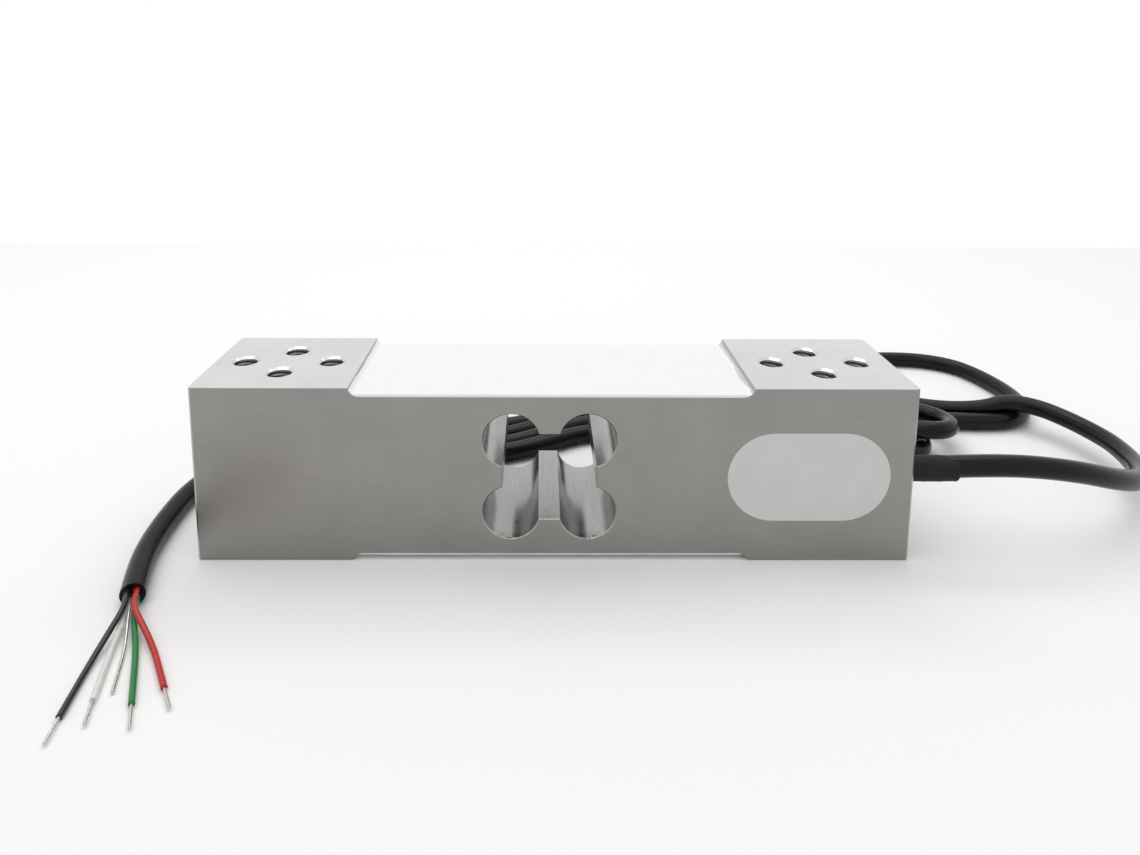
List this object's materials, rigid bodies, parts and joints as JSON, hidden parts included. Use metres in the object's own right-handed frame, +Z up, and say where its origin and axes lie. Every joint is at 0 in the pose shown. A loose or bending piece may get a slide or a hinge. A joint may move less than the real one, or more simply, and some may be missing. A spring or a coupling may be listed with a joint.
{
  "type": "single point load cell",
  "caption": "Rectangular aluminium single point load cell with a butterfly window, tapped mounting pads, silicone-covered gauges, a potted side pocket and a free cable.",
  "frame": {"origin": "middle of the beam's underside, under the beam's middle", "axes": "+X along the beam towards the cable exit, +Y to the back, away from the potted pocket, +Z up"},
  "size_m": [0.242, 0.1593, 0.038],
  "materials": {
    "machined_aluminium": "machined, satin",
    "white_silicone": "smooth, satin",
    "grey_potting": "smooth, matte",
    "gauge_foil": "polyimide film, satin",
    "terminal_strip": "fibreglass, satin",
    "circuit_board": "fibreglass, satin",
    "resistor_body": "glazed",
    "lead_wire": "enamelled",
    "shrink_sleeve": "matte",
    "cable_jacket": "smooth, semi-gloss",
    "tie_nylon": "satin nylon",
    "core_red": "glossy insulation",
    "core_black": "glossy insulation",
    "core_green": "glossy insulation",
    "core_white": "glossy insulation",
    "tinned_copper": "tinned, bright"
  },
  "bodies": {
    "root": {"spring_element": "machined_aluminium", "top_silicone": "white_silicone", "bottom_silicone": "white_silicone", "gauge_top_left": "gauge_foil", "gauge_top_right": "gauge_foil", "gauge_bottom_left": "gauge_foil", "gauge_bottom_right": "gauge_foil", "top_terminals": "terminal_strip", "bottom_terminals": "terminal_strip", "top_gauge_leads": "lead_wire", "bottom_gauge_leads": "lead_wire", "compensation_board": "circuit_board", "trim_resistors": "resistor_body", "pocket_potting": "grey_potting", "pocket_cores": "lead_wire", "exit_sleeve": "shrink_sleeve", "cable_lead": "cable_jacket", "cable_hank": "cable_jacket", "cable_tail": "cable_jacket", "cable_tie": "tie_nylon", "core_red": "core_red", "core_black": "core_black", "core_green": "core_green", "core_white": "core_white", "core_tips": "tinned_copper", "shield_drain": "tinned_copper"}
  },
  "joints": []
}
